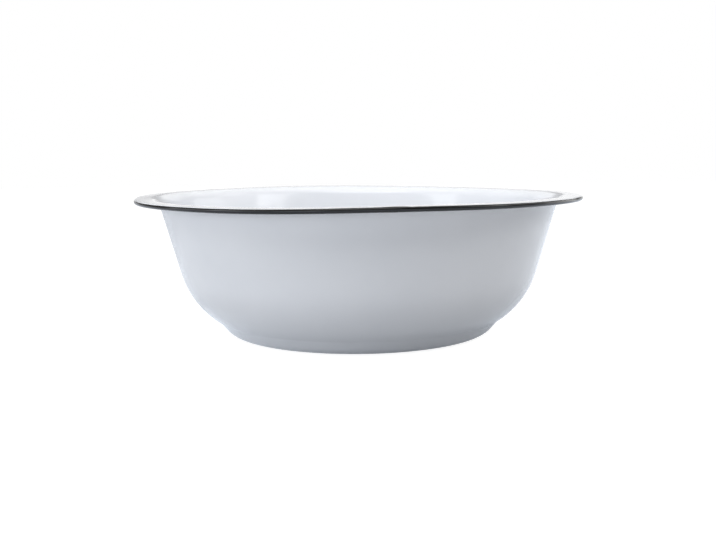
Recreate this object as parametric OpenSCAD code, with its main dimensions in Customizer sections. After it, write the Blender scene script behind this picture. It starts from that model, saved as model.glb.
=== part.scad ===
// White enamelled steel basin with a dark rolled rim.
// The sheet is one meridian, traced from the axis out over the base, the foot, the belly,
// the wall and the flange and round the bead. Each enamel coat runs parallel to it.

/* [Overall] */
// Diameter over the rolled rim
rim_d = 340; // [280:1:420]
// Height from the table to the top of the flange
height = 105.5; // [90:0.5:130]
// Level distance from the seat's outer edge to the rim's outer edge
side_reach = 77; // [70:0.5:90]

/* [Rim] */
// Width of the level flange, from the end of the neck to the rim's outer edge
flange_w = 11.5; // [8:0.5:15]
// Radius of the hollow inside the rolled bead
bead_hollow_r = 0.7; // [0.7:0.05:1.5]
// Gap between the flange's underside and the rolled edge
bead_gap = 0.74; // [0.5:0.01:1.5]
// Depth of the dark edging's upper edge below the top of the rim
edging_drop = 0.54; // [0.2:0.02:1.2]

/* [Wall] */
// Radius of the bend under the flange
neck_r = 8; // [5:0.5:12]
// Radius of the belly
belly_r = 64; // [50:0.5:78]
// Slope of the sheet where the belly begins, in degrees
belly_from = 33.5; // [28:0.5:40]

/* [Foot] */
// Height of the foot, from the table to the step under the belly
foot_h = 10.4; // [8:0.1:14]
// Radius of the foot's lower corner
foot_corner_r = 14.5; // [8:0.5:18]
// Slope of the foot's side, in degrees
foot_flare = 49; // [42:0.5:55]
// Radius of the step between the foot and the belly
step_r = 9; // [3:0.5:14]

/* [Base] */
// Width of the flat ring that the basin stands on
seat_w = 12; // [6:0.5:20]
// Height of the centre panel above the table
panel_rise = 2; // [1:0.1:4]
// Radius of the two bends between the centre panel and the ring
shoulder_r = 6; // [4:0.5:10]

/* [Sheet and enamel] */
// Thickness of the steel sheet
steel_t = 0.6; // [0.4:0.05:1]
// Thickness of the ground coat on each face
ground_t = 0.15; // [0.1:0.01:0.2]
// Thickness of the cover coat on each face
cover_t = 0.25; // [0.15:0.01:0.4]

/* [Hidden] */

// Largest gap between an arc and its chords
chord_sag = 0.02;
// Coordinates are rounded to this, so that coats that touch share their points
grid = 0.001;
// Steps round the axis
$fn = 180;

// Depth of each surface below the finished outer face
ground_outer_at = cover_t;
steel_outer_at = ground_outer_at + ground_t;
steel_inner_at = steel_outer_at + steel_t;
ground_inner_at = steel_inner_at + ground_t;
finish_inner_at = ground_inner_at + cover_t;

rim_r = rim_d / 2;
seat_r = rim_r - side_reach;
bead_r = bead_hollow_r + finish_inner_at - steel_outer_at;

// A move is [length, 0] for a straight run or [radius, turn] for an arc, left turns positive,
// with the radius on the finished outer face
shoulder_turn = acos(1 - panel_rise / (2 * shoulder_r));
shoulder_run = 2 * shoulder_r * sin(shoulder_turn);
foot_corner_h = foot_corner_r * (1 - cos(foot_flare));
foot_moves = [
    [seat_r - seat_w - shoulder_run, 0],
    [shoulder_r, -shoulder_turn],
    [shoulder_r, shoulder_turn],
    [seat_w, 0],
    [foot_corner_r, foot_flare],
    [(foot_h - foot_corner_h) / sin(foot_flare), 0],
    [step_r, belly_from - foot_flare]
];

// The wall is the straight run that touches the belly's circle and the neck's
belly_start = last(trace(start_at(0), foot_moves, 0));
belly_centre = xy(belly_start) + belly_r * [-sin(belly_from), cos(belly_from)];
neck_centre = [rim_r - flange_w, height - finish_inner_at - neck_r];
span = neck_centre - belly_centre;
wall_slope = atan2(span[1], span[0]) + asin((belly_r + neck_r) / norm(span));
wall_run = sqrt(pow(norm(span), 2) - pow(belly_r + neck_r, 2));

bowl_moves = concat(foot_moves, [
    [belly_r, wall_slope - belly_from],
    [wall_run, 0],
    [neck_r, -wall_slope],
    [flange_w - bead_r, 0]
]);

// The bead turns under in two stretches, which meet where the dark edging begins
bead_inner_r = bead_hollow_r - steel_outer_at;
edging_turn = acos(1 - edging_drop / bead_r);
bead_turn = 360 - acos((bead_inner_r - bead_gap) / bead_r);
bead_top = [bead_inner_r, -edging_turn];
bead_rest = [bead_inner_r, edging_turn - bead_turn];
topped_moves = concat(bowl_moves, [bead_top]);
sheet_moves = concat(topped_moves, [bead_rest]);
edge_cover = [bead_inner_r, -atan(cover_t / bead_r)];

function last(list) = list[len(list) - 1];
function xy(at) = [at[0], at[1]];
function reversed(list) = [for (i = [len(list) - 1 : -1 : 0]) list[i]];
function snapped(points) = [for (p = points) [round(p[0] / grid) * grid, round(p[1] / grid) * grid]];

// A place on a meridian is [radius, height, slope]; this one is on the axis
function start_at(depth) = [0, panel_rise + depth, 0];

// Place after an arc; side is +1 for a left turn and -1 for a right turn
function turned(at, radius, turn) =
    let (side = sign(turn), slope = at[2] + turn)
    [
        at[0] + side * radius * (sin(slope) - sin(at[2])),
        at[1] + side * radius * (cos(at[2]) - cos(slope)),
        slope
    ];

// Chords of an arc, the same number on every surface of the sheet
function chords(move) =
    ceil(abs(move[1]) / (2 * acos(1 - chord_sag / (move[0] + finish_inner_at))));

// Places along one move, its start left out, on the surface at a depth below the outer face
function along(at, move, depth) =
    move[1] == 0
        ? [[at[0] + move[0] * cos(at[2]), at[1] + move[0] * sin(at[2]), at[2]]]
        : let (n = chords(move), radius = move[0] - sign(move[1]) * depth)
          [for (i = [1 : n]) turned(at, radius, move[1] * i / n)];

// Places along all the moves in turn, the start included
function trace(at, moves, depth, i = 0) =
    i == len(moves)
        ? [at]
        : let (leg = along(at, moves[i], depth))
          concat([at], [for (j = [0 : 1 : len(leg) - 2]) leg[j]], trace(last(leg), moves, depth, i + 1));

// Place where the dark edging begins, on the surface at a depth below the outer face
function edging_start(depth) = last(trace(start_at(depth), topped_moves, depth));

// Place at the sheet's cut edge, on the surface at a depth below the outer face
function cut_edge(depth) = last(trace(start_at(depth), sheet_moves, depth));

module revolved(points) {
    rotate_extrude()
        polygon(snapped(points));
}

// A layer of the sheet between two depths
module layer(moves, outer, inner) {
    revolved(concat(
        trace(start_at(outer), moves, outer),
        reversed(trace(start_at(inner), moves, inner))
    ));
}

// Pressed sheet with its edge rolled under into a hollow bead
module steel_shell() {
    color("#9a9da1")
        layer(sheet_moves, steel_outer_at, steel_inner_at);
}

// Ground coat on the inside, over the flange and round the outside of the bead
module ground_coat_inner() {
    color("#2a2f3a")
        layer(sheet_moves, steel_inner_at, ground_inner_at);
}

// Ground coat on the outside and into the hollow of the bead
module ground_coat_outer() {
    color("#2a2f3a")
        layer(sheet_moves, ground_outer_at, steel_outer_at);
}

// White cover coat on the inside, up to the dark edging
module white_coat_inner() {
    color("#f3f5f7")
        layer(topped_moves, ground_inner_at, finish_inner_at);
}

// White cover coat on the outside, up to the bead
module white_coat_outer() {
    color("#e6e9ee")
        layer(bowl_moves, 0, ground_outer_at);
}

// Dark edging round the outside of the bead and over the sheet's cut edge
module rim_coat() {
    face = trace(edging_start(finish_inner_at), [bead_rest, edge_cover], finish_inner_at);
    lip = trace(cut_edge(ground_outer_at), [edge_cover], ground_outer_at);
    seat = trace(edging_start(ground_inner_at), [bead_rest], ground_inner_at);
    color("#1d1e20")
        revolved(concat(face, reversed(lip), reversed(seat)));
}

steel_shell();
ground_coat_inner();
ground_coat_outer();
white_coat_inner();
white_coat_outer();
rim_coat();
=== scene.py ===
"""White enamelled steel basin with a dark rolled rim, in a plain studio.

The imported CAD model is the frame. A fine piece stands for each of its six layers:
the steel, the two ground coats, the two white coats and the dark edging. They share
one meridian and one gentle warp of the rim, as the furnace leaves it. Lengths are in
metres, in the frame of the CAD model.
"""

import logging
import math
from dataclasses import dataclass, field
from enum import Enum
from typing import ClassVar

import bpy
import numpy as np
from mathutils import Matrix, Vector


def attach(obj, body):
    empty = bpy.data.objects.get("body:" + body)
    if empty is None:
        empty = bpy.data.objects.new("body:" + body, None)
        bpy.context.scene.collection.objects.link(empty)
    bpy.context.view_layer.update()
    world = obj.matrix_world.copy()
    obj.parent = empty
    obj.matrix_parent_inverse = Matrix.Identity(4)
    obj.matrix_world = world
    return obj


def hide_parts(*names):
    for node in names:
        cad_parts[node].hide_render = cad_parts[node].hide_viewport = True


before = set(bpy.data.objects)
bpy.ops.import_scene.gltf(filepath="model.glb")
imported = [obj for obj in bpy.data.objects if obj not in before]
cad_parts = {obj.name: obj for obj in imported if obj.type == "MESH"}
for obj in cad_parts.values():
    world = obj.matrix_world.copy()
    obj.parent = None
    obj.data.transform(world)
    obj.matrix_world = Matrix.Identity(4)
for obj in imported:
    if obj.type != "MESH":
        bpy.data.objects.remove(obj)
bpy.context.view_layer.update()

LOG = logging.getLogger("basin")
MM = 0.001
BODY = "root"
WELD = 0.002 * MM

# Octaves of the noise textures, from a plain swell to broken scuffs.
PLAIN, CLOUDY, BROKEN = 1.0, 3.0, 4.0

# The mix node's sockets for colours and for numbers, which share their names.
COLOUR_A, COLOUR_B, COLOUR_OUT = 6, 7, 2
NUMBER_A, NUMBER_B, NUMBER_OUT = 2, 3, 0

# The sRGB transfer curve.
SRGB_KNEE, SRGB_SLOPE, SRGB_OFFSET, SRGB_GAMMA = 0.04045, 12.92, 0.055, 2.4

Colour = tuple[float, float, float, float]
Outline = list[tuple[float, float]]
Stops = tuple[tuple[float, float], ...]


def linear(shade: str) -> Colour:
    """Turn an sRGB hex value into the linear colour that Blender's sockets take.

    Args:
        shade: The colour as six hex digits after a number sign.

    Returns:
        Linear red, green and blue, and an alpha of one.
    """
    channels = [int(shade[i:i + 2], 16) / 255 for i in (1, 3, 5)]
    red, green, blue = (
        c / SRGB_SLOPE if c <= SRGB_KNEE
        else ((c + SRGB_OFFSET) / (1 + SRGB_OFFSET)) ** SRGB_GAMMA
        for c in channels
    )
    return red, green, blue, 1.0


def per_metre(size_mm: float) -> float:
    """Give the texture scale at which one feature is size_mm across."""
    return 1 / (size_mm * MM)


def add_node(
    tree: bpy.types.NodeTree,
    kind: str,
    settings: dict[str, object] | None = None,
    sockets: dict[str | int, object] | None = None,
    stops: Stops = (),
) -> bpy.types.Node:
    """Add a node with its settings and links.

    Args:
        tree: The node tree that gets the node.
        kind: Blender's name for the type of node.
        settings: Properties of the node, by name.
        sockets: Values for its inputs, or outputs to link them to, by name or index.
        stops: Places and grey levels along the node's colour ramp, if it has one.

    Returns:
        The new node.
    """
    node = tree.nodes.new(kind)
    for name, value in (settings or {}).items():
        setattr(node, name, value)
    for name, value in (sockets or {}).items():
        if isinstance(value, bpy.types.NodeSocket):
            tree.links.new(value, node.inputs[name])
        else:
            node.inputs[name].default_value = value
    if stops:
        marks = node.color_ramp.elements
        marks.remove(marks[1])
        marks[0].position = stops[0][0]
        for place, _ in stops[1:]:
            marks.new(place)
        for mark, (_, level) in zip(marks, stops):
            mark.color = (level, level, level, 1)
    return node


def new_material(name: str) -> bpy.types.Material:
    """Add a material with an empty node tree.

    Args:
        name: The finish's name.

    Returns:
        The new material.
    """
    material = bpy.data.materials.new(name)
    material.use_nodes = True
    material.node_tree.nodes.clear()
    return material


@dataclass(frozen=True)
class Place:
    """A place on a meridian: radius, height and slope of the sheet there."""

    r: float
    z: float
    slope: float


@dataclass(frozen=True)
class Move:
    """One stretch of a meridian.

    size is the length of a straight run or the radius of an arc on the finished
    outer face, and turn is the arc's angle, with left turns positive.
    """

    size: float
    turn: float = 0.0


@dataclass(frozen=True)
class Meridian:
    """Section of the pressed sheet from the axis to the rolled rim, and its coats."""

    rim_r: float = 170 * MM
    height: float = 105.5 * MM
    seat_r: float = 93 * MM
    flange_w: float = 11.5 * MM
    bead_hollow_r: float = 0.7 * MM
    bead_gap: float = 0.74 * MM
    edging_drop: float = 0.54 * MM
    neck_r: float = 8 * MM
    belly_r: float = 64 * MM
    belly_from: float = math.radians(33.5)
    foot_h: float = 10.4 * MM
    foot_corner_r: float = 14.5 * MM
    foot_flare: float = math.radians(49)
    step_r: float = 9 * MM
    seat_w: float = 12 * MM
    panel_rise: float = 2 * MM
    shoulder_r: float = 6 * MM
    ground_outer_at: float = 0.25 * MM
    steel_outer_at: float = 0.4 * MM
    steel_t: float = 0.6 * MM
    ground_inner_at: float = 1.15 * MM
    finish_inner_at: float = 1.4 * MM
    turn_step: float = math.radians(6)

    @property
    def bead_r(self) -> float:
        """Radius of the bead over its finish."""
        return self.bead_hollow_r + self.finish_inner_at - self.steel_outer_at

    @property
    def bead_inner_r(self) -> float:
        """Radius of the bead on the outer face of the sheet, inside its hollow."""
        return self.bead_hollow_r - self.steel_outer_at

    @property
    def bead_centre(self) -> tuple[float, float]:
        """Radius and height of the bead's centre."""
        return self.rim_r - self.bead_r, self.height - self.bead_r

    @property
    def edging_turn(self) -> float:
        """Turn of the bead from its top to the dark edging."""
        return math.acos(1 - self.edging_drop / self.bead_r)

    @property
    def bead_turn(self) -> float:
        """Turn of the bead from its top to the sheet's cut edge."""
        return math.tau - math.acos((self.bead_inner_r - self.bead_gap) / self.bead_r)

    @property
    def edge_cover(self) -> float:
        """Turn of the edging past the cut edge."""
        return math.atan((self.finish_inner_at - self.ground_inner_at) / self.bead_r)

    def foot_moves(self) -> list[Move]:
        """Give the moves from the axis to the step over the foot."""
        shoulder = math.acos(1 - self.panel_rise / (2 * self.shoulder_r))
        shoulder_run = 2 * self.shoulder_r * math.sin(shoulder)
        corner_h = self.foot_corner_r * (1 - math.cos(self.foot_flare))
        return [
            Move(self.seat_r - self.seat_w - shoulder_run),
            Move(self.shoulder_r, -shoulder),
            Move(self.shoulder_r, shoulder),
            Move(self.seat_w),
            Move(self.foot_corner_r, self.foot_flare),
            Move((self.foot_h - corner_h) / math.sin(self.foot_flare)),
            Move(self.step_r, self.belly_from - self.foot_flare),
        ]

    def bowl_moves(self) -> list[Move]:
        """Give the moves from the axis to the end of the flange."""
        foot = self.foot_moves()
        end = self.end_of(foot, 0)
        belly_r = end.r - self.belly_r * math.sin(self.belly_from)
        belly_z = end.z + self.belly_r * math.cos(self.belly_from)
        across = self.rim_r - self.flange_w - belly_r
        up = self.height - self.finish_inner_at - self.neck_r - belly_z
        apart, both = math.hypot(across, up), self.belly_r + self.neck_r
        wall_slope = math.atan2(up, across) + math.asin(both / apart)
        return foot + [
            Move(self.belly_r, wall_slope - self.belly_from),
            Move(math.sqrt(apart ** 2 - both ** 2)),
            Move(self.neck_r, -wall_slope),
            Move(self.flange_w - self.bead_r),
        ]

    def bead_top(self) -> Move:
        """Give the bead's turn from its top to the dark edging."""
        return Move(self.bead_inner_r, -self.edging_turn)

    def bead_rest(self) -> Move:
        """Give the bead's turn from the dark edging to the cut edge."""
        return Move(self.bead_inner_r, self.edging_turn - self.bead_turn)

    def start(self, depth: float) -> Place:
        """Give the place on the axis at a depth below the finished outer face."""
        return Place(0.0, self.panel_rise + depth, 0.0)

    def along(self, at: Place, move: Move, depth: float, pace: float) -> list[Place]:
        """Step along one move on the surface at a depth below the outer face.

        Args:
            at: The place where the move starts.
            move: The move.
            depth: Depth of the surface below the finished outer face.
            pace: The longest step.

        Returns:
            The places after the start, the last one at the move's end.
        """
        if not move.turn:
            steps = math.ceil(move.size / pace)
            ways = [move.size * i / steps for i in range(1, steps + 1)]
            across, up = math.cos(at.slope), math.sin(at.slope)
            return [Place(at.r + way * across, at.z + way * up, at.slope) for way in ways]
        side = math.copysign(1, move.turn)
        radius = move.size - side * depth
        angle = abs(move.turn)
        steps = math.ceil(max(angle / self.turn_step, angle * radius / pace))
        places = []
        for i in range(1, steps + 1):
            slope = at.slope + move.turn * i / steps
            r = at.r + side * radius * (math.sin(slope) - math.sin(at.slope))
            z = at.z + side * radius * (math.cos(at.slope) - math.cos(slope))
            places.append(Place(r, z, slope))
        return places

    def trace(self, at: Place, moves: list[Move], depth: float, pace: float) -> list[Place]:
        """Step along several moves in turn.

        Args:
            at: The place where the first move starts.
            moves: The moves.
            depth: Depth of the surface below the finished outer face.
            pace: The longest step.

        Returns:
            All the places, the start included.
        """
        places = [at]
        for move in moves:
            places += self.along(places[-1], move, depth, pace)
        return places

    def end_of(self, moves: list[Move], depth: float) -> Place:
        """Give the place where moves from the axis end, at a depth below the outer face."""
        return self.trace(self.start(depth), moves, depth, self.rim_r)[-1]


def outline_of(places: list[Place]) -> Outline:
    """Give the radius and height of each place."""
    return [(place.r, place.z) for place in places]


@dataclass(frozen=True)
class Ripple:
    """One wave of the hand-drawn edge of the dark edging, round the rim."""

    waves: int
    size: float
    phase: float


@dataclass(frozen=True)
class Swell:
    """A short rise or dip at one place on the rim, its azimuth and width in degrees."""

    azimuth: float
    width: float
    size: float

    def at(self, azimuth: np.ndarray) -> np.ndarray:
        """Give the swell's size at angles round the axis, in radians."""
        away = (np.degrees(azimuth) - self.azimuth + 180) % 360 - 180
        return self.size * np.exp(-((away / self.width) ** 2))


@dataclass(frozen=True)
class EdgingLine:
    """Upper edge of the dark edging, as an angle round the bead that varies round the rim.

    The edging is brushed on by hand, so its edge wanders and lies higher on the near
    side, and a lump stands where the brush was lifted. Angles are in degrees, and a
    positive size moves the edge down the bead. The lump's size is a thickness.
    """

    mean: float = 2.0
    lump: Swell = Swell(-82.4, 2.6, 0.2 * MM)
    ripples: tuple[Ripple, ...] = (
        Ripple(3, 1.2, 0.4),
        Ripple(7, 1.0, 2.1),
        Ripple(16, 0.8, 4.0),
        Ripple(37, 0.5, 1.3),
    )
    swells: tuple[Swell, ...] = (
        Swell(-80.0, 44.0, -31.0),
        Swell(-82.4, 2.2, -8.0),
        Swell(-79.0, 0.55, 11.0),
    )

    def shift(self, azimuth: np.ndarray) -> np.ndarray:
        """Give the edge's shift down the bead.

        Args:
            azimuth: Angles round the axis, in radians.

        Returns:
            The shift at each of them, in radians.
        """
        total = np.full_like(azimuth, self.mean)
        for wave in self.ripples:
            total += wave.size * np.sin(wave.waves * azimuth + wave.phase)
        for swell in self.swells:
            total += swell.at(azimuth)
        return np.radians(total)


@dataclass(frozen=True)
class Warp:
    """Gentle warp of the rim that the furnace leaves in thin sheet.

    Each wave is its count round the rim, and the sizes of its cosine and sine in
    millimetres. The warp grows smoothly from one height up the wall to another.
    """

    waves: tuple[tuple[int, float, float], ...] = (
        (0, 0.32, 0.0),
        (1, -0.47, 0.43),
        (2, -0.15, -0.70),
        (3, -0.09, 0.04),
        (4, 0.15, 0.07),
        (6, -0.01, -0.05),
        (7, -0.03, 0.06),
        (8, 0.02, 0.03),
    )
    from_z: float = 45 * MM
    to_z: float = 100 * MM

    def rise(self, azimuth: np.ndarray, z: np.ndarray) -> np.ndarray:
        """Give how far the sheet rises.

        Args:
            azimuth: Angles round the axis, in radians.
            z: Heights before the warp.

        Returns:
            The rise at each place.
        """
        total = np.zeros_like(azimuth)
        for count, cosine, sine in self.waves:
            total += cosine * np.cos(count * azimuth) + sine * np.sin(count * azimuth)
        share = np.clip((z - self.from_z) / (self.to_z - self.from_z), 0, 1)
        return total * MM * share ** 2 * (3 - 2 * share)


@dataclass(frozen=True)
class WhiteEnamel:
    """Titania-white cover enamel, sprayed and fired on steel.

    A hard glass, cold white and glossy, with a faint orange peel and clouds of slightly
    different white where the coat is thicker or thinner. The ring that it stands on is
    scuffed a little dull.
    """

    name: ClassVar[str] = "white_cover_enamel"
    thick: str = "#ebedf1"
    thin: str = "#e3e6eb"
    scuffed: str = "#c3c5c8"
    roughness: float = 0.06
    roughness_worn: float = 0.12
    roughness_scuffed: float = 0.5
    ior: float = 1.52
    scuff_from: float = 0.5 * MM
    scuff_to: float = 0.05 * MM
    scuff_mm: float = 2.5
    scuff_break: float = 0.7
    cloud_mm: float = 46
    gloss_from: float = 0.3
    gloss_to: float = 0.7
    peel_mm: float = 3.2
    peel_depth: float = 0.008 * MM
    sag_mm: float = 24
    sag_depth: float = 0.05 * MM

    def make(self) -> bpy.types.Material:
        """Make the finish.

        Returns:
            The new material.
        """
        material = new_material(self.name)
        tree = material.node_tree
        here = add_node(tree, "ShaderNodeTexCoord").outputs["Object"]
        clouds = add_node(tree, "ShaderNodeTexNoise", None, {
            "Vector": here, "Scale": per_metre(self.cloud_mm), "Detail": CLOUDY,
        })
        tone = add_node(tree, "ShaderNodeMix", {"data_type": "RGBA"}, {
            0: clouds.outputs["Fac"],
            COLOUR_A: linear(self.thick), COLOUR_B: linear(self.thin),
        })
        height = add_node(tree, "ShaderNodeSeparateXYZ", None, {0: here})
        seat = add_node(tree, "ShaderNodeMapRange", None, {
            "Value": height.outputs["Z"],
            "From Min": self.scuff_from, "From Max": self.scuff_to,
        })
        rubs = add_node(tree, "ShaderNodeTexNoise", None, {
            "Vector": here, "Scale": per_metre(self.scuff_mm),
            "Detail": BROKEN, "Roughness": self.scuff_break,
        })
        rubbed = add_node(tree, "ShaderNodeMath", {"operation": "MULTIPLY"}, {
            0: seat.outputs["Result"], 1: rubs.outputs["Fac"],
        })
        scuffed = add_node(tree, "ShaderNodeMix", {"data_type": "RGBA"}, {
            0: rubbed.outputs[0],
            COLOUR_A: tone.outputs[COLOUR_OUT], COLOUR_B: linear(self.scuffed),
        })
        peel = add_node(tree, "ShaderNodeTexNoise", None, {
            "Vector": here, "Scale": per_metre(self.peel_mm), "Detail": PLAIN,
        })
        sag = add_node(tree, "ShaderNodeTexNoise", None, {
            "Vector": here, "Scale": per_metre(self.sag_mm), "Detail": PLAIN,
        })
        sagged = add_node(tree, "ShaderNodeBump", None, {
            "Distance": self.sag_depth, "Height": sag.outputs["Fac"],
        })
        peeled = add_node(tree, "ShaderNodeBump", None, {
            "Distance": self.peel_depth,
            "Height": peel.outputs["Fac"], "Normal": sagged.outputs["Normal"],
        })
        gloss = add_node(tree, "ShaderNodeMapRange", None, {
            "Value": clouds.outputs["Fac"],
            "From Min": self.gloss_from, "From Max": self.gloss_to,
            "To Min": self.roughness, "To Max": self.roughness_worn,
        })
        dull = add_node(tree, "ShaderNodeMix", {"data_type": "FLOAT"}, {
            0: rubbed.outputs[0],
            NUMBER_A: gloss.outputs["Result"], NUMBER_B: self.roughness_scuffed,
        })
        glass = add_node(tree, "ShaderNodeBsdfPrincipled", None, {
            "Base Color": scuffed.outputs[COLOUR_OUT],
            "Roughness": dull.outputs[NUMBER_OUT],
            "IOR": self.ior, "Normal": peeled.outputs["Normal"],
        })
        add_node(tree, "ShaderNodeOutputMaterial", None, {"Surface": glass.outputs["BSDF"]})
        return material


@dataclass(frozen=True)
class BlackEnamel:
    """Black edging enamel, brushed round the bead and fired.

    A glossy near-black glass, with faint clouds where the brush left it thinner.
    """

    name: ClassVar[str] = "black_edging_enamel"
    deep: str = "#060607"
    thin: str = "#0d0c0d"
    roughness: float = 0.16
    ior: float = 1.42
    cloud_mm: float = 9
    peel_mm: float = 2.2
    peel_depth: float = 0.008 * MM

    def make(self) -> bpy.types.Material:
        """Make the finish.

        Returns:
            The new material.
        """
        material = new_material(self.name)
        tree = material.node_tree
        here = add_node(tree, "ShaderNodeTexCoord").outputs["Object"]
        clouds = add_node(tree, "ShaderNodeTexNoise", None, {
            "Vector": here, "Scale": per_metre(self.cloud_mm), "Detail": CLOUDY,
        })
        tone = add_node(tree, "ShaderNodeMix", {"data_type": "RGBA"}, {
            0: clouds.outputs["Fac"],
            COLOUR_A: linear(self.deep), COLOUR_B: linear(self.thin),
        })
        peel = add_node(tree, "ShaderNodeTexNoise", None, {
            "Vector": here, "Scale": per_metre(self.peel_mm), "Detail": PLAIN,
        })
        peeled = add_node(tree, "ShaderNodeBump", None, {
            "Distance": self.peel_depth, "Height": peel.outputs["Fac"],
        })
        glass = add_node(tree, "ShaderNodeBsdfPrincipled", None, {
            "Base Color": tone.outputs[COLOUR_OUT], "Roughness": self.roughness,
            "IOR": self.ior, "Normal": peeled.outputs["Normal"],
        })
        add_node(tree, "ShaderNodeOutputMaterial", None, {"Surface": glass.outputs["BSDF"]})
        return material


@dataclass(frozen=True)
class GroundEnamel:
    """Cobalt ground coat, dipped and fired on the bare sheet.

    A blue-black glass full of fine bubbles, glossy where it lies bare.
    """

    name: ClassVar[str] = "cobalt_ground_enamel"
    deep: str = "#171a22"
    bubbled: str = "#2a3140"
    roughness: float = 0.22
    ior: float = 1.52
    bubble_mm: float = 1.6
    bubble_depth: float = 0.02 * MM

    def make(self) -> bpy.types.Material:
        """Make the finish.

        Returns:
            The new material.
        """
        material = new_material(self.name)
        tree = material.node_tree
        here = add_node(tree, "ShaderNodeTexCoord").outputs["Object"]
        bubbles = add_node(tree, "ShaderNodeTexVoronoi", None, {
            "Vector": here, "Scale": per_metre(self.bubble_mm),
        })
        tone = add_node(tree, "ShaderNodeMix", {"data_type": "RGBA"}, {
            0: bubbles.outputs["Distance"],
            COLOUR_A: linear(self.bubbled), COLOUR_B: linear(self.deep),
        })
        pitted = add_node(tree, "ShaderNodeBump", None, {
            "Distance": self.bubble_depth, "Height": bubbles.outputs["Distance"],
        })
        glass = add_node(tree, "ShaderNodeBsdfPrincipled", None, {
            "Base Color": tone.outputs[COLOUR_OUT], "Roughness": self.roughness,
            "IOR": self.ior, "Normal": pitted.outputs["Normal"],
        })
        add_node(tree, "ShaderNodeOutputMaterial", None, {"Surface": glass.outputs["BSDF"]})
        return material


@dataclass(frozen=True)
class SheetSteel:
    """Cold-rolled enamelling steel, deep drawn and pickled.

    A grey satin metal with the draw marks of the press running up the wall.
    """

    name: ClassVar[str] = "pickled_sheet_steel"
    light: str = "#c3c6c9"
    dark: str = "#a4a8ad"
    roughness: float = 0.38
    grain_mm: float = 2.5
    grain_stretch: tuple[float, float, float] = (1.0, 1.0, 0.08)
    grain_depth: float = 0.01 * MM

    def make(self) -> bpy.types.Material:
        """Make the finish.

        Returns:
            The new material.
        """
        material = new_material(self.name)
        tree = material.node_tree
        here = add_node(tree, "ShaderNodeTexCoord").outputs["Object"]
        drawn = add_node(tree, "ShaderNodeMapping", None, {
            "Vector": here, "Scale": self.grain_stretch,
        })
        grain = add_node(tree, "ShaderNodeTexNoise", None, {
            "Vector": drawn.outputs["Vector"], "Scale": per_metre(self.grain_mm),
            "Detail": CLOUDY,
        })
        tone = add_node(tree, "ShaderNodeMix", {"data_type": "RGBA"}, {
            0: grain.outputs["Fac"],
            COLOUR_A: linear(self.dark), COLOUR_B: linear(self.light),
        })
        scored = add_node(tree, "ShaderNodeBump", None, {
            "Distance": self.grain_depth, "Height": grain.outputs["Fac"],
        })
        metal = add_node(tree, "ShaderNodeBsdfPrincipled", None, {
            "Base Color": tone.outputs[COLOUR_OUT], "Metallic": 1.0,
            "Roughness": self.roughness, "Normal": scored.outputs["Normal"],
        })
        add_node(tree, "ShaderNodeOutputMaterial", None, {"Surface": metal.outputs["BSDF"]})
        return material


class Slot(Enum):
    """Material slots of the record."""

    STEEL = "sheet_steel"
    GROUND = "ground_enamel"
    WHITE = "white_enamel"
    BLACK = "black_enamel"


def spun(name: str, outline: Outline, steps: int) -> bpy.types.Object:
    """Draw an outline point by point and spin it round the axis.

    Args:
        name: Name of the piece.
        outline: Radius and height of each point. It starts and ends on the axis, or
            comes back to its first point.
        steps: Steps round the axis.

    Returns:
        The closed piece, at the origin, with its faces outwards.
    """
    bpy.ops.object.select_all(action="DESELECT")
    bpy.ops.mesh.primitive_plane_add(size=MM)
    piece = bpy.context.object
    piece.name = piece.data.name = name
    bpy.ops.object.mode_set(mode="EDIT")
    bpy.ops.mesh.select_all(action="SELECT")
    bpy.ops.mesh.merge(type="CENTER")
    r, z = outline[0]
    bpy.ops.transform.translate(value=(r, 0, z))
    for (r, z), (next_r, next_z) in zip(outline, outline[1:]):
        bpy.ops.mesh.extrude_vertices_move(
            TRANSFORM_OT_translate={"value": (next_r - r, 0, next_z - z)}
        )
    bpy.ops.object.mode_set(mode="OBJECT")
    bpy.ops.object.modifier_add(type="SCREW")
    turning = piece.modifiers[-1]
    turning.steps = turning.render_steps = steps
    bpy.ops.object.modifier_apply(modifier=turning.name)
    bpy.ops.object.mode_set(mode="EDIT")
    bpy.ops.mesh.select_all(action="SELECT")
    bpy.ops.mesh.remove_doubles(threshold=WELD)
    bpy.ops.mesh.normals_make_consistent(inside=False)
    bpy.ops.object.mode_set(mode="OBJECT")
    return piece


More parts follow.
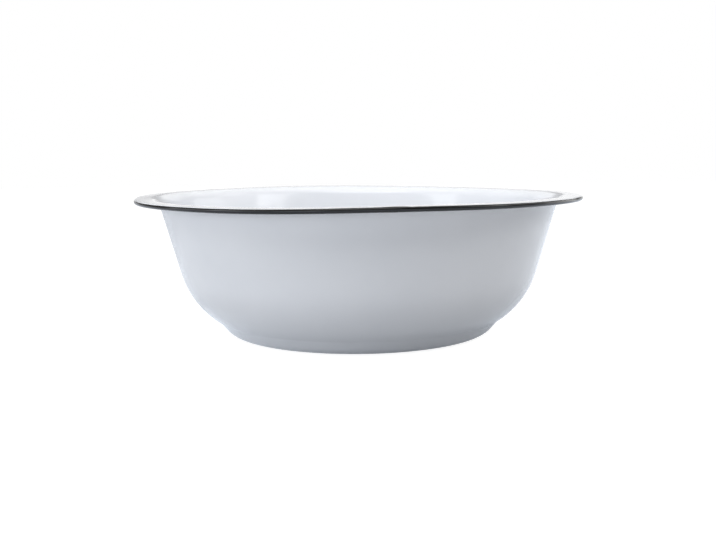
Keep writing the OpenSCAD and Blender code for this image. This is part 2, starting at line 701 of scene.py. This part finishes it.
@dataclass
class Coat:
    """A layer of the sheet or its enamel that stands for one node of the CAD model."""

    meridian: Meridian
    finish: bpy.types.Material
    node: str = ""
    slot: Slot = Slot.WHITE
    steps: int = 576
    pace: float = 6 * MM
    sharp_from: float = math.radians(35)
    skin: float = 0.1 * MM
    line: EdgingLine = field(default_factory=EdgingLine)
    warp: Warp = field(default_factory=Warp)

    def outline(self) -> Outline:
        """Give the coat's section."""
        raise NotImplementedError

    def layer(self, moves: list[Move], face: float, back: float) -> Outline:
        """Give the section of a layer between two depths below the finished outer face.

        Args:
            moves: The moves that the layer follows from the axis.
            face: Depth of its face.
            back: Depth of its back.

        Returns:
            The way out from the axis on the face, and the way in on the back.
        """
        sheet = self.meridian
        out = sheet.trace(sheet.start(face), moves, face, self.pace)
        home = sheet.trace(sheet.start(back), moves, back, self.pace)
        return outline_of(out) + outline_of(home)[::-1]

    def share(self, turn: np.ndarray) -> np.ndarray:
        """Give the share of the edging line's shift at a turn round the bead.

        Args:
            turn: Angles round the bead, from its top, in radians.

        Returns:
            Zero where the coat stays, one at the edging line.
        """
        return np.zeros_like(turn)

    def thicker(self, azimuth: np.ndarray) -> np.ndarray:
        """Give how much thicker the coat's end is at angles round the axis."""
        return np.zeros_like(azimuth)

    def settle(self, piece: bpy.types.Object) -> None:
        """Let the coat's end follow the hand-drawn edging line, and the rim its warp.

        Args:
            piece: The coat.
        """
        mesh = piece.data
        points = np.empty(len(mesh.vertices) * 3)
        mesh.vertices.foreach_get("co", points)
        x, y, z = points.reshape(-1, 3).T
        r, azimuth = np.hypot(x, y), np.arctan2(y, x)
        middle_r, middle_z = self.meridian.bead_centre
        over, up = r - middle_r, z - middle_z
        radius, turn = np.hypot(over, up), np.arctan2(over, up) % math.tau
        on_bead = radius < self.meridian.bead_r + self.skin
        share = np.where(on_bead, self.share(turn), 0)
        on_face = radius > self.meridian.bead_r - self.skin
        radius = radius + np.where(on_face, share, 0) * self.thicker(azimuth)
        turn = turn + share * self.line.shift(azimuth)
        new_r = np.where(share > 0, middle_r + radius * np.sin(turn), r)
        new_z = np.where(share > 0, middle_z + radius * np.cos(turn), z)
        new_z = new_z + self.warp.rise(azimuth, new_z)
        moved = np.stack([new_r * np.cos(azimuth), new_r * np.sin(azimuth), new_z], axis=1)
        mesh.vertices.foreach_set("co", moved.ravel())
        mesh.update()

    def build(self) -> bpy.types.Object:
        """Model the coat, dress it and put it in the place of its node.

        Returns:
            The finished piece.
        """
        piece = spun(self.node + "_fine", self.outline(), self.steps)
        self.settle(piece)
        bpy.ops.object.select_all(action="DESELECT")
        piece.select_set(True)
        bpy.context.view_layer.objects.active = piece
        bpy.ops.object.shade_smooth_by_angle(angle=self.sharp_from)
        piece.data.materials.append(self.finish)
        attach(piece, BODY)
        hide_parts(self.node)
        return piece


@dataclass
class InnerCoat(Coat):
    """White coat on the inside and the flange, up to the dark edging."""

    node: str = "white_coat_inner"

    def outline(self) -> Outline:
        """Give the coat's section, from the axis out on its face and back under it."""
        sheet = self.meridian
        moves = sheet.bowl_moves() + [sheet.bead_top()]
        return self.layer(moves, sheet.finish_inner_at, sheet.ground_inner_at)

    def share(self, turn: np.ndarray) -> np.ndarray:
        """Give the share of the shift: it grows from the bead's top to the edging line."""
        grown = np.clip(turn / self.meridian.edging_turn, 0, 1)
        return np.where(turn < math.pi, grown, 0)


@dataclass
class OuterCoat(Coat):
    """White coat on the outside, from the underside up to the bead."""

    node: str = "white_coat_outer"

    def outline(self) -> Outline:
        """Give the coat's section, from the axis out on its face and back under it."""
        return self.layer(self.meridian.bowl_moves(), 0, self.meridian.ground_outer_at)


@dataclass
class EdgingCoat(Coat):
    """Dark edging round the bead and over the sheet's cut edge."""

    node: str = "rim_coat"
    slot: Slot = Slot.BLACK
    pace: float = 1 * MM

    def outline(self) -> Outline:
        """Give the coat's section, round the bead on its face and back under it."""
        sheet = self.meridian
        to_edge = sheet.bowl_moves() + [sheet.bead_top()]
        rest, cover = sheet.bead_rest(), Move(sheet.bead_inner_r, -sheet.edge_cover)

        def round_bead(moves: list[Move], depth: float) -> list[Place]:
            """Trace moves from the edging's edge at a depth below the outer face."""
            return sheet.trace(sheet.end_of(to_edge, depth), moves, depth, self.pace)

        face = round_bead([rest, cover], sheet.finish_inner_at)
        seat = round_bead([rest], sheet.ground_inner_at)
        cut = round_bead([rest], sheet.ground_outer_at)[-1]
        lip = sheet.trace(cut, [cover], sheet.ground_outer_at, self.pace)
        section = outline_of(face) + outline_of(lip)[::-1] + outline_of(seat)[::-1]
        return section + section[:1]

    def share(self, turn: np.ndarray) -> np.ndarray:
        """Give the share of the shift: it fades from the edging line to the cut edge."""
        first, last = self.meridian.edging_turn, self.meridian.bead_turn
        return np.clip((last - turn) / (last - first), 0, 1)

    def thicker(self, azimuth: np.ndarray) -> np.ndarray:
        """Give the thickness of the edging's lump at angles round the axis."""
        return self.line.lump.at(azimuth)


@dataclass
class SheetLayer(Coat):
    """A layer of the whole sheet under the cover coats, from the axis to the cut edge."""

    steps: int = 288
    pace: float = 5 * MM
    face: float = 0.0
    back: float = 0.0

    def outline(self) -> Outline:
        """Give the layer's section, from the axis out on its face and back under it."""
        sheet = self.meridian
        moves = sheet.bowl_moves() + [sheet.bead_top(), sheet.bead_rest()]
        return self.layer(moves, self.face, self.back)


@dataclass(frozen=True)
class Lamp:
    """A soft box that faces the basin."""

    name: str
    place: tuple[float, float, float]
    width: float
    height: float
    power: float
    shade: str = "#ffffff"
    lean: float = 0.0
    aim: tuple[float, float, float] = (0.0, 0.0, 0.05)

    def hang(self) -> None:
        """Put the lamp in the scene."""
        towards = Vector(self.aim) - Vector(self.place)
        turn = towards.to_track_quat("-Z", "Y").to_matrix().to_4x4()
        turn = turn @ Matrix.Rotation(math.radians(self.lean), 4, "Z")
        bpy.ops.object.light_add(type="AREA", location=self.place, rotation=turn.to_euler())
        lamp = bpy.context.object
        lamp.name = lamp.data.name = self.name
        lamp.data.shape = "RECTANGLE"
        lamp.data.size, lamp.data.size_y = self.width, self.height
        lamp.data.energy = self.power
        lamp.data.color = linear(self.shade)[:3]
        lamp.visible_camera = False


@dataclass
class Studio:
    """White sweep, a light tent that is open and dark behind the camera, and soft lamps.

    The surround shows white to the camera. The enamel reflects the paper, the tent, the
    dark opening in it and a backdrop with a dark band straight behind the basin, as a
    real glaze does. In the glaze the paper also shows a painted glow, lighter on the left
    as a painted pool of light and dimmer close round the basin as a painted shadow. Levels
    are pairs of a place and a strength. On the floor a place is a distance from the
    basin's axis, in the tent it is the sine of a ray's elevation.
    """

    floor_size: float = 6.0
    floor_drop: float = 0.1 * MM
    floor_shade: str = "#9c9c9c"
    floor_glow: float = 0.9
    mirror_shade: str = "#c5cad2"
    shine_shade: str = "#edf5ff"
    # Painted light on the floor for glossy rays only: low levels close to the basin are a
    # painted shadow, the higher levels on the left a painted pool of light.
    shine_left: Stops = (
        (0.108, 0.66), (0.114, 0.83), (0.13, 0.83), (0.15, 0.53),
        (0.18, 0.53), (0.22, 0.41), (0.32, 0.41), (0.40, 0.27),
    )
    shine_right: Stops = (
        (0.108, 0.26), (0.114, 0.53), (0.13, 0.53), (0.15, 0.46),
        (0.18, 0.46), (0.22, 0.48), (0.32, 0.48), (0.40, 0.56),
    )
    shine_fade: float = 0.1
    left_strength: float = 0.79
    right_strength: float = 0.0
    side_fade: float = 0.25
    front_from: float = 0.55
    front_to: float = 0.65
    back_levels: Stops = (
        (0.05, 0.40), (0.08, 0.15), (0.10, 0.15), (0.14, 0.23), (0.22, 0.23),
        (0.28, 0.28), (0.45, 0.28), (0.55, 0.89), (0.70, 0.89), (0.80, 0.63),
    )
    back_from: float = -0.36
    back_to: float = -0.24
    drop_levels: Stops = (
        (0.065, 0.9), (0.10, 0.25), (0.20, 0.25), (0.27, 0.9), (0.40, 0.7),
    )
    drop_from: float = 0.75
    drop_to: float = 0.85
    tent_shade: str = "#ffffff"
    lamps: tuple[Lamp, ...] = (
        Lamp("overhead_box", (0.0, 0.0, 1.4), 1.4, 1.4, 6.1, "#fffbf8"),
        Lamp("front_top_fill", (0.0, -0.8, 1.3), 1.0, 1.0, 6.2),
        Lamp("window_left", (-1.0, -1.0, 0.28), 1.5, 0.5, 4.5, "#eff6ff"),
        Lamp("window_far_left", (-1.4, -0.3, 0.28), 1.2, 0.5, 3.8, "#fafcff"),
        Lamp("window_low", (0.0, -1.3, 0.08), 2.0, 0.16, 1.8, "#f0f5ff"),
        Lamp("window_front", (-0.3, -1.5, 0.28), 1.5, 0.5, 1.8),
        Lamp("window_right", (1.0, -1.0, 0.28), 1.5, 0.5, 0.7),
        Lamp("strip_left", (-1.22, -0.445, 0.75), 0.17, 0.5, 0.85),
        Lamp("strip_right", (1.23, -0.42, 0.75), 0.24, 0.5, 1.5),
        Lamp("wing_left", (-1.03, -0.69, 0.91), 0.53, 0.22, 1.15, lean=52.0),
        Lamp("wing_right", (1.03, -0.69, 0.91), 0.53, 0.22, 1.15, lean=-52.0),
        Lamp("panel_right", (1.13, 0.53, 0.3), 0.8, 0.55, 2.2),
        Lamp("panel_right_high", (1.1, 0.1, 0.8), 0.9, 0.55, 1.5),
    )

    def looks(
        self, tree: bpy.types.NodeTree
    ) -> tuple[bpy.types.NodeSocket, bpy.types.NodeSocket]:
        """Tell which rays look at the background.

        Args:
            tree: The node tree that asks.

        Returns:
            Two outputs: the first is one for camera and transmission rays, the second
            for glossy rays.
        """
        path = add_node(tree, "ShaderNodeLightPath").outputs
        direct = add_node(tree, "ShaderNodeMath", {"operation": "MAXIMUM"}, {
            0: path["Is Camera Ray"], 1: path["Is Transmission Ray"],
        })
        return direct.outputs[0], path["Is Glossy Ray"]

    def lay_floor(self) -> None:
        """Lay a floor that shows white and keeps a soft shadow. To glossy rays it shows a
        lighter paper with a painted glow: painted shadow close round the basin, deepest on
        the right, and painted light on the left.
        """
        bpy.ops.object.select_all(action="DESELECT")
        bpy.ops.mesh.primitive_plane_add(
            size=self.floor_size, location=(0, 0, -self.floor_drop)
        )
        floor = bpy.context.object
        floor.name = floor.data.name = "studio_floor"
        material = new_material("white_sweep_paper")
        tree = material.node_tree
        direct, mirror = self.looks(tree)
        tone = add_node(tree, "ShaderNodeMix", {"data_type": "RGBA"}, {
            0: mirror,
            COLOUR_A: linear(self.floor_shade), COLOUR_B: linear(self.mirror_shade),
        })
        paper = add_node(tree, "ShaderNodeBsdfDiffuse", None, {
            "Color": tone.outputs[COLOUR_OUT],
        })
        place = add_node(tree, "ShaderNodeTexCoord").outputs["Object"]
        away = add_node(tree, "ShaderNodeVectorMath", {"operation": "LENGTH"}, {0: place})
        side = add_node(tree, "ShaderNodeSeparateXYZ", None, {0: place})
        across = add_node(tree, "ShaderNodeMapRange", None, {
            "Value": side.outputs["X"],
            "From Min": -self.shine_fade, "From Max": self.shine_fade,
        })
        # Painted shadow and painted light for glossy rays: levels by distance from the
        # axis, blended from the left side to the right.
        left, right = (
            add_node(tree, "ShaderNodeValToRGB", None, {0: away.outputs["Value"]}, stops)
            for stops in (self.shine_left, self.shine_right)
        )
        level = add_node(tree, "ShaderNodeMix", {"data_type": "RGBA"}, {
            0: across.outputs["Result"],
            COLOUR_A: left.outputs["Color"], COLOUR_B: right.outputs["Color"],
        })
        glow, gloss = (
            add_node(tree, "ShaderNodeMath", {"operation": "MULTIPLY"}, {0: rays, 1: power})
            for rays, power in (
                (direct, self.floor_glow), (mirror, level.outputs[COLOUR_OUT]),
            )
        )
        shown = add_node(tree, "ShaderNodeEmission", None, {"Strength": glow.outputs[0]})
        # Emission seen only by glossy rays: the painted shadow round the basin and the
        # painted light on the left.
        mirrored = add_node(tree, "ShaderNodeEmission", None, {
            "Color": linear(self.shine_shade), "Strength": gloss.outputs[0],
        })
        shine = add_node(tree, "ShaderNodeAddShader", None, {
            0: shown.outputs[0], 1: mirrored.outputs[0],
        })
        both = add_node(tree, "ShaderNodeAddShader", None, {
            0: paper.outputs[0], 1: shine.outputs[0],
        })
        add_node(tree, "ShaderNodeOutputMaterial", None, {"Surface": both.outputs[0]})
        floor.data.materials.append(material)

    def surround(self) -> None:
        """Set a world that lights softly, shows white and reflects as a tent."""
        world = bpy.data.worlds.new("light_tent")
        world.use_nodes = True
        tree = world.node_tree
        tree.nodes.clear()
        direct, _ = self.looks(tree)
        way = add_node(tree, "ShaderNodeSeparateXYZ", None, {
            0: add_node(tree, "ShaderNodeTexCoord").outputs["Generated"],
        })
        opening = add_node(tree, "ShaderNodeMapRange", None, {
            "Value": way.outputs["X"],
            "From Min": -self.side_fade, "From Max": self.side_fade,
            "To Min": self.left_strength, "To Max": self.right_strength,
        })
        above = add_node(tree, "ShaderNodeMapRange", None, {
            "Value": way.outputs["Z"],
            "From Min": self.front_from, "From Max": self.front_to,
        })
        front = add_node(tree, "ShaderNodeMath", {"operation": "MULTIPLY"}, {
            0: opening.outputs["Result"], 1: above.outputs["Result"],
        })
        back = add_node(tree, "ShaderNodeMapRange", None, {
            "Value": way.outputs["Y"], "From Min": self.back_from, "From Max": self.back_to,
        })
        wall, behind = (
            add_node(tree, "ShaderNodeValToRGB", None, {0: way.outputs["Z"]}, levels)
            for levels in (self.back_levels, self.drop_levels)
        )
        tent = add_node(tree, "ShaderNodeMix", {"data_type": "FLOAT"}, {
            0: back.outputs["Result"],
            NUMBER_A: front.outputs[0], NUMBER_B: wall.outputs["Color"],
        })
        drop = add_node(tree, "ShaderNodeMapRange", None, {
            "Value": way.outputs["Y"], "From Min": self.drop_from, "From Max": self.drop_to,
        })
        lit = add_node(tree, "ShaderNodeMix", {"data_type": "FLOAT"}, {
            0: drop.outputs["Result"],
            NUMBER_A: tent.outputs[NUMBER_OUT], NUMBER_B: behind.outputs["Color"],
        })
        strength = add_node(tree, "ShaderNodeMath", {"operation": "MAXIMUM"}, {
            0: lit.outputs[NUMBER_OUT], 1: direct,
        })
        white = add_node(tree, "ShaderNodeBackground", None, {
            "Color": linear(self.tent_shade), "Strength": strength.outputs[0],
        })
        add_node(tree, "ShaderNodeOutputWorld", None, {"Surface": white.outputs[0]})
        bpy.context.scene.world = world

    def build(self) -> None:
        """Set up the whole studio."""
        self.lay_floor()
        self.surround()
        for lamp in self.lamps:
            lamp.hang()
        bpy.context.scene.view_settings.view_transform = "Standard"


@dataclass(frozen=True)
class Viewpoint:
    """The photograph's camera: a little above the rim, tilted down and slightly rolled."""

    place: tuple[float, float, float] = (0.0, -732.35 * MM, 140.16 * MM)
    pitch: float = math.radians(7.2807)
    roll: float = math.radians(0.5772)
    picture_w: int = 716
    focal_px: float = 940.05
    centre_px: float = 358.984
    sensor: float = 36.0

    def set_up(self) -> None:
        """Add the camera and make it the scene's own."""
        tilt = Matrix.Rotation(math.pi / 2 - self.pitch, 4, "X")
        turn = tilt @ Matrix.Rotation(-self.roll, 4, "Z")
        bpy.ops.object.camera_add(location=self.place, rotation=turn.to_euler())
        camera = bpy.context.object
        camera.name = camera.data.name = "photograph_view"
        camera.data.sensor_fit = "HORIZONTAL"
        camera.data.sensor_width = self.sensor
        camera.data.lens = self.focal_px / self.picture_w * self.sensor
        camera.data.shift_x = (self.picture_w / 2 - self.centre_px) / self.picture_w
        bpy.context.scene.camera = camera


def main() -> None:
    """Build the basin, the studio and the camera."""
    logging.basicConfig(level=logging.INFO, format="%(name)s: %(message)s")
    meridian = Meridian()
    white, black = WhiteEnamel().make(), BlackEnamel().make()
    ground, steel = GroundEnamel().make(), SheetSteel().make()
    steel_inner_at = meridian.steel_outer_at + meridian.steel_t
    Viewpoint().set_up()
    for coat in (
        SheetLayer(
            meridian, steel, "steel_shell", Slot.STEEL,
            face=meridian.steel_outer_at, back=steel_inner_at,
        ),
        SheetLayer(
            meridian, ground, "ground_coat_inner", Slot.GROUND,
            face=steel_inner_at, back=meridian.ground_inner_at,
        ),
        SheetLayer(
            meridian, ground, "ground_coat_outer", Slot.GROUND,
            face=meridian.ground_outer_at, back=meridian.steel_outer_at,
        ),
        InnerCoat(meridian, white),
        OuterCoat(meridian, white),
        EdgingCoat(meridian, black),
    ):
        piece = coat.build()
        LOG.info("built %s, %d faces", piece.name, len(piece.data.polygons))
    Studio().build()
    LOG.info("studio and camera are set")


if __name__ == "__main__":
    main()
